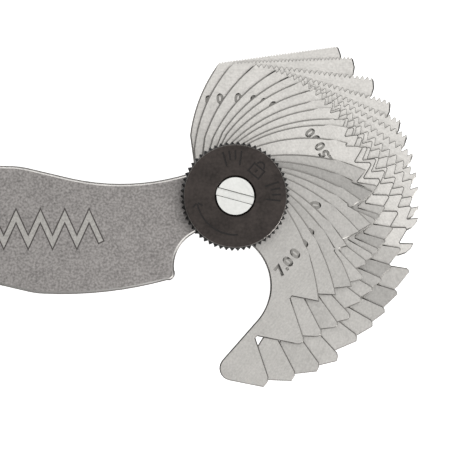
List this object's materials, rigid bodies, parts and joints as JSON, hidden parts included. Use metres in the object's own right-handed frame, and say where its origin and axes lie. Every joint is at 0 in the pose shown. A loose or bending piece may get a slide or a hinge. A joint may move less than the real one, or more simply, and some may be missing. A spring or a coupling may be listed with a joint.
{
  "type": "screw pitch gauge",
  "caption": "Double-ended thread pitch gauge: two fans of toothed steel leaves fold into a flat case and are clamped by knurled lock knobs.",
  "frame": {"origin": "centre of the rear shell's outer face, midway between the two pivots", "axes": "+Z out of the rear face through the leaves towards the knobs; +X along the case towards the metric end; +Y towards the metric end's closed edge"},
  "size_m": [0.1048, 0.0505, 0.0153],
  "materials": {
    "case_steel": "matte, grit-blasted",
    "leaf_steel": "satin, as rolled",
    "black_oxide": "satin blackened steel",
    "bright_steel": "bright turned steel"
  },
  "bodies": {
    "case": {"rear_case_shell": "case_steel", "front_case_shell": "case_steel", "pivot_posts": "bright_steel", "clamp_washers": "bright_steel", "retaining_screws": "bright_steel"},
    "right_knob": {"right_lock_knob": "black_oxide"},
    "left_knob": {"left_lock_knob": "black_oxide"},
    "metric_leaf_0_40": {"metric_leaf_0_40": "leaf_steel"},
    "metric_leaf_0_50": {"metric_leaf_0_50": "leaf_steel"},
    "metric_leaf_0_70": {"metric_leaf_0_70": "leaf_steel"},
    "metric_leaf_0_75": {"metric_leaf_0_75": "leaf_steel"},
    "metric_leaf_0_80": {"metric_leaf_0_80": "leaf_steel"},
    "metric_leaf_0_90": {"metric_leaf_0_90": "leaf_steel"},
    "metric_leaf_1_00": {"metric_leaf_1_00": "leaf_steel"},
    "metric_leaf_1_25": {"metric_leaf_1_25": "leaf_steel"},
    "metric_leaf_1_50": {"metric_leaf_1_50": "leaf_steel"},
    "metric_leaf_1_75": {"metric_leaf_1_75": "leaf_steel"},
    "metric_leaf_2_00": {"metric_leaf_2_00": "leaf_steel"},
    "metric_leaf_2_50": {"metric_leaf_2_50": "leaf_steel"},
    "metric_leaf_3_00": {"metric_leaf_3_00": "leaf_steel"},
    "metric_leaf_3_50": {"metric_leaf_3_50": "leaf_steel"},
    "metric_leaf_4_00": {"metric_leaf_4_00": "leaf_steel"},
    "metric_leaf_4_50": {"metric_leaf_4_50": "leaf_steel"},
    "metric_leaf_5_00": {"metric_leaf_5_00": "leaf_steel"},
    "metric_leaf_5_50": {"metric_leaf_5_50": "leaf_steel"},
    "metric_leaf_6_00": {"metric_leaf_6_00": "leaf_steel"},
    "metric_leaf_6_50": {"metric_leaf_6_50": "leaf_steel"},
    "metric_leaf_7_00": {"metric_leaf_7_00": "leaf_steel"},
    "inch_leaf_42": {"inch_leaf_42": "leaf_steel"},
    "inch_leaf_40": {"inch_leaf_40": "leaf_steel"},
    "inch_leaf_38": {"inch_leaf_38": "leaf_steel"},
    "inch_leaf_36": {"inch_leaf_36": "leaf_steel"},
    "inch_leaf_34": {"inch_leaf_34": "leaf_steel"},
    "inch_leaf_32": {"inch_leaf_32": "leaf_steel"},
    "inch_leaf_30": {"inch_leaf_30": "leaf_steel"},
    "inch_leaf_28": {"inch_leaf_28": "leaf_steel"},
    "inch_leaf_27": {"inch_leaf_27": "leaf_steel"},
    "inch_leaf_26": {"inch_leaf_26": "leaf_steel"},
    "inch_leaf_24": {"inch_leaf_24": "leaf_steel"},
    "inch_leaf_22": {"inch_leaf_22": "leaf_steel"},
    "inch_leaf_20": {"inch_leaf_20": "leaf_steel"},
    "inch_leaf_18": {"inch_leaf_18": "leaf_steel"},
    "inch_leaf_16": {"inch_leaf_16": "leaf_steel"},
    "inch_leaf_15": {"inch_leaf_15": "leaf_steel"},
    "inch_leaf_14": {"inch_leaf_14": "leaf_steel"},
    "inch_leaf_13": {"inch_leaf_13": "leaf_steel"},
    "inch_leaf_12": {"inch_leaf_12": "leaf_steel"},
    "inch_leaf_11_5": {"inch_leaf_11_5": "leaf_steel"},
    "inch_leaf_11": {"inch_leaf_11": "leaf_steel"},
    "inch_leaf_10": {"inch_leaf_10": "leaf_steel"},
    "inch_leaf_9": {"inch_leaf_9": "leaf_steel"},
    "inch_leaf_8": {"inch_leaf_8": "leaf_steel"},
    "inch_leaf_7": {"inch_leaf_7": "leaf_steel"},
    "inch_leaf_6": {"inch_leaf_6": "leaf_steel"},
    "inch_leaf_5_5": {"inch_leaf_5_5": "leaf_steel"},
    "inch_leaf_5": {"inch_leaf_5": "leaf_steel"},
    "inch_leaf_4_5": {"inch_leaf_4_5": "leaf_steel"},
    "inch_leaf_4": {"inch_leaf_4": "leaf_steel"}
  },
  "joints": [
    {"name": "right_knob_turn", "type": "hinge", "parent": "case", "child": "right_knob", "pos_m": [0.0269, 0.0044, 0.014], "axis": [0, 0, 1], "range_deg": [0, 120]},
    {"name": "left_knob_turn", "type": "hinge", "parent": "case", "child": "left_knob", "pos_m": [-0.0269, -0.0044, 0.014], "axis": [0, 0, 1], "range_deg": [0, 120]},
    {"name": "metric_leaf_0_40_turn", "type": "hinge", "parent": "case", "child": "metric_leaf_0_40", "pos_m": [0.0269, 0.0044, 0.006], "axis": [0, 0, 1], "range_deg": [-232, 36]},
    {"name": "metric_leaf_0_50_turn", "type": "hinge", "parent": "case", "child": "metric_leaf_0_50", "pos_m": [0.0269, 0.0044, 0.006], "axis": [0, 0, 1], "range_deg": [-227, 40]},
    {"name": "metric_leaf_0_70_turn", "type": "hinge", "parent": "case", "child": "metric_leaf_0_70", "pos_m": [0.0269, 0.0044, 0.006], "axis": [0, 0, 1], "range_deg": [-219, 50]},
    {"name": "metric_leaf_0_75_turn", "type": "hinge", "parent": "case", "child": "metric_leaf_0_75", "pos_m": [0.0269, 0.0044, 0.006], "axis": [0, 0, 1], "range_deg": [-210, 59]},
    {"name": "metric_leaf_0_80_turn", "type": "hinge", "parent": "case", "child": "metric_leaf_0_80", "pos_m": [0.0269, 0.0044, 0.006], "axis": [0, 0, 1], "range_deg": [-203, 66]},
    {"name": "metric_leaf_0_90_turn", "type": "hinge", "parent": "case", "child": "metric_leaf_0_90", "pos_m": [0.0269, 0.0044, 0.006], "axis": [0, 0, 1], "range_deg": [-198, 71]},
    {"name": "metric_leaf_1_00_turn", "type": "hinge", "parent": "case", "child": "metric_leaf_1_00", "pos_m": [0.0269, 0.0044, 0.006], "axis": [0, 0, 1], "range_deg": [-192, 77]},
    {"name": "metric_leaf_1_25_turn", "type": "hinge", "parent": "case", "child": "metric_leaf_1_25", "pos_m": [0.0269, 0.0044, 0.006], "axis": [0, 0, 1], "range_deg": [-186, 84]},
    {"name": "metric_leaf_1_50_turn", "type": "hinge", "parent": "case", "child": "metric_leaf_1_50", "pos_m": [0.0269, 0.0044, 0.006], "axis": [0, 0, 1], "range_deg": [-181, 89]},
    {"name": "metric_leaf_1_75_turn", "type": "hinge", "parent": "case", "child": "metric_leaf_1_75", "pos_m": [0.0269, 0.0044, 0.006], "axis": [0, 0, 1], "range_deg": [-175, 95]},
    {"name": "metric_leaf_2_00_turn", "type": "hinge", "parent": "case", "child": "metric_leaf_2_00", "pos_m": [0.0269, 0.0044, 0.006], "axis": [0, 0, 1], "range_deg": [-172, 99]},
    {"name": "metric_leaf_2_50_turn", "type": "hinge", "parent": "case", "child": "metric_leaf_2_50", "pos_m": [0.0269, 0.0044, 0.006], "axis": [0, 0, 1], "range_deg": [-163, 108]},
    {"name": "metric_leaf_3_00_turn", "type": "hinge", "parent": "case", "child": "metric_leaf_3_00", "pos_m": [0.0269, 0.0044, 0.006], "axis": [0, 0, 1], "range_deg": [-152, 124]},
    {"name": "metric_leaf_3_50_turn", "type": "hinge", "parent": "case", "child": "metric_leaf_3_50", "pos_m": [0.0269, 0.0044, 0.006], "axis": [0, 0, 1], "range_deg": [-144, 132]},
    {"name": "metric_leaf_4_00_turn", "type": "hinge", "parent": "case", "child": "metric_leaf_4_00", "pos_m": [0.0269, 0.0044, 0.006], "axis": [0, 0, 1], "range_deg": [-137, 139]},
    {"name": "metric_leaf_4_50_turn", "type": "hinge", "parent": "case", "child": "metric_leaf_4_50", "pos_m": [0.0269, 0.0044, 0.006], "axis": [0, 0, 1], "range_deg": [-131, 145]},
    {"name": "metric_leaf_5_00_turn", "type": "hinge", "parent": "case", "child": "metric_leaf_5_00", "pos_m": [0.0269, 0.0044, 0.006], "axis": [0, 0, 1], "range_deg": [-124, 152]},
    {"name": "metric_leaf_5_50_turn", "type": "hinge", "parent": "case", "child": "metric_leaf_5_50", "pos_m": [0.0269, 0.0044, 0.006], "axis": [0, 0, 1], "range_deg": [-113, 162]},
    {"name": "metric_leaf_6_00_turn", "type": "hinge", "parent": "case", "child": "metric_leaf_6_00", "pos_m": [0.0269, 0.0044, 0.006], "axis": [0, 0, 1], "range_deg": [-106, 170]},
    {"name": "metric_leaf_6_50_turn", "type": "hinge", "parent": "case", "child": "metric_leaf_6_50", "pos_m": [0.0269, 0.0044, 0.006], "axis": [0, 0, 1], "range_deg": [-97, 178]},
    {"name": "metric_leaf_7_00_turn", "type": "hinge", "parent": "case", "child": "metric_leaf_7_00", "pos_m": [0.0269, 0.0044, 0.006], "axis": [0, 0, 1], "range_deg": [-88, 187]},
    {"name": "inch_leaf_42_turn", "type": "hinge", "parent": "case", "child": "inch_leaf_42", "pos_m": [-0.0269, -0.0044, 0.006], "axis": [0, 0, 1], "range_deg": [-232, 36]},
    {"name": "inch_leaf_40_turn", "type": "hinge", "parent": "case", "child": "inch_leaf_40", "pos_m": [-0.0269, -0.0044, 0.006], "axis": [0, 0, 1], "range_deg": [-229, 40]},
    {"name": "inch_leaf_38_turn", "type": "hinge", "parent": "case", "child": "inch_leaf_38", "pos_m": [-0.0269, -0.0044, 0.006], "axis": [0, 0, 1], "range_deg": [-222, 46]},
    {"name": "inch_leaf_36_turn", "type": "hinge", "parent": "case", "child": "inch_leaf_36", "pos_m": [-0.0269, -0.0044, 0.006], "axis": [0, 0, 1], "range_deg": [-217, 52]},
    {"name": "inch_leaf_34_turn", "type": "hinge", "parent": "case", "child": "inch_leaf_34", "pos_m": [-0.0269, -0.0044, 0.006], "axis": [0, 0, 1], "range_deg": [-214, 55]},
    {"name": "inch_leaf_32_turn", "type": "hinge", "parent": "case", "child": "inch_leaf_32", "pos_m": [-0.0269, -0.0044, 0.006], "axis": [0, 0, 1], "range_deg": [-209, 60]},
    {"name": "inch_leaf_30_turn", "type": "hinge", "parent": "case", "child": "inch_leaf_30", "pos_m": [-0.0269, -0.0044, 0.006], "axis": [0, 0, 1], "range_deg": [-203, 66]},
    {"name": "inch_leaf_28_turn", "type": "hinge", "parent": "case", "child": "inch_leaf_28", "pos_m": [-0.0269, -0.0044, 0.006], "axis": [0, 0, 1], "range_deg": [-198, 70]},
    {"name": "inch_leaf_27_turn", "type": "hinge", "parent": "case", "child": "inch_leaf_27", "pos_m": [-0.0269, -0.0044, 0.006], "axis": [0, 0, 1], "range_deg": [-195, 74]},
    {"name": "inch_leaf_26_turn", "type": "hinge", "parent": "case", "child": "inch_leaf_26", "pos_m": [-0.0269, -0.0044, 0.006], "axis": [0, 0, 1], "range_deg": [-189, 80]},
    {"name": "inch_leaf_24_turn", "type": "hinge", "parent": "case", "child": "inch_leaf_24", "pos_m": [-0.0269, -0.0044, 0.006], "axis": [0, 0, 1], "range_deg": [-183, 86]},
    {"name": "inch_leaf_22_turn", "type": "hinge", "parent": "case", "child": "inch_leaf_22", "pos_m": [-0.0269, -0.0044, 0.006], "axis": [0, 0, 1], "range_deg": [-180, 89]},
    {"name": "inch_leaf_20_turn", "type": "hinge", "parent": "case", "child": "inch_leaf_20", "pos_m": [-0.0269, -0.0044, 0.006], "axis": [0, 0, 1], "range_deg": [-176, 94]},
    {"name": "inch_leaf_18_turn", "type": "hinge", "parent": "case", "child": "inch_leaf_18", "pos_m": [-0.0269, -0.0044, 0.006], "axis": [0, 0, 1], "range_deg": [-169, 100]},
    {"name": "inch_leaf_16_turn", "type": "hinge", "parent": "case", "child": "inch_leaf_16", "pos_m": [-0.0269, -0.0044, 0.006], "axis": [0, 0, 1], "range_deg": [-165, 105]},
    {"name": "inch_leaf_15_turn", "type": "hinge", "parent": "case", "child": "inch_leaf_15", "pos_m": [-0.0269, -0.0044, 0.006], "axis": [0, 0, 1], "range_deg": [-161, 109]},
    {"name": "inch_leaf_14_turn", "type": "hinge", "parent": "case", "child": "inch_leaf_14", "pos_m": [-0.0269, -0.0044, 0.006], "axis": [0, 0, 1], "range_deg": [-156, 114]},
    {"name": "inch_leaf_13_turn", "type": "hinge", "parent": "case", "child": "inch_leaf_13", "pos_m": [-0.0269, -0.0044, 0.006], "axis": [0, 0, 1], "range_deg": [-150, 121]},
    {"name": "inch_leaf_12_turn", "type": "hinge", "parent": "case", "child": "inch_leaf_12", "pos_m": [-0.0269, -0.0044, 0.006], "axis": [0, 0, 1], "range_deg": [-146, 125]},
    {"name": "inch_leaf_11_5_turn", "type": "hinge", "parent": "case", "child": "inch_leaf_11_5", "pos_m": [-0.0269, -0.0044, 0.006], "axis": [0, 0, 1], "range_deg": [-142, 129]},
    {"name": "inch_leaf_11_turn", "type": "hinge", "parent": "case", "child": "inch_leaf_11", "pos_m": [-0.0269, -0.0044, 0.006], "axis": [0, 0, 1], "range_deg": [-136, 135]},
    {"name": "inch_leaf_10_turn", "type": "hinge", "parent": "case", "child": "inch_leaf_10", "pos_m": [-0.0269, -0.0044, 0.006], "axis": [0, 0, 1], "range_deg": [-131, 141]},
    {"name": "inch_leaf_9_turn", "type": "hinge", "parent": "case", "child": "inch_leaf_9", "pos_m": [-0.0269, -0.0044, 0.006], "axis": [0, 0, 1], "range_deg": [-127, 144]},
    {"name": "inch_leaf_8_turn", "type": "hinge", "parent": "case", "child": "inch_leaf_8", "pos_m": [-0.0269, -0.0044, 0.006], "axis": [0, 0, 1], "range_deg": [-120, 156]},
    {"name": "inch_leaf_7_turn", "type": "hinge", "parent": "case", "child": "inch_leaf_7", "pos_m": [-0.0269, -0.0044, 0.006], "axis": [0, 0, 1], "range_deg": [-113, 163]},
    {"name": "inch_leaf_6_turn", "type": "hinge", "parent": "case", "child": "inch_leaf_6", "pos_m": [-0.0269, -0.0044, 0.006], "axis": [0, 0, 1], "range_deg": [-109, 167]},
    {"name": "inch_leaf_5_5_turn", "type": "hinge", "parent": "case", "child": "inch_leaf_5_5", "pos_m": [-0.0269, -0.0044, 0.006], "axis": [0, 0, 1], "range_deg": [-106, 171]},
    {"name": "inch_leaf_5_turn", "type": "hinge", "parent": "case", "child": "inch_leaf_5", "pos_m": [-0.0269, -0.0044, 0.006], "axis": [0, 0, 1], "range_deg": [-100, 177]},
    {"name": "inch_leaf_4_5_turn", "type": "hinge", "parent": "case", "child": "inch_leaf_4_5", "pos_m": [-0.0269, -0.0044, 0.006], "axis": [0, 0, 1], "range_deg": [-93, 183]},
    {"name": "inch_leaf_4_turn", "type": "hinge", "parent": "case", "child": "inch_leaf_4", "pos_m": [-0.0269, -0.0044, 0.006], "axis": [0, 0, 1], "range_deg": [-90, 186]}
  ]
}
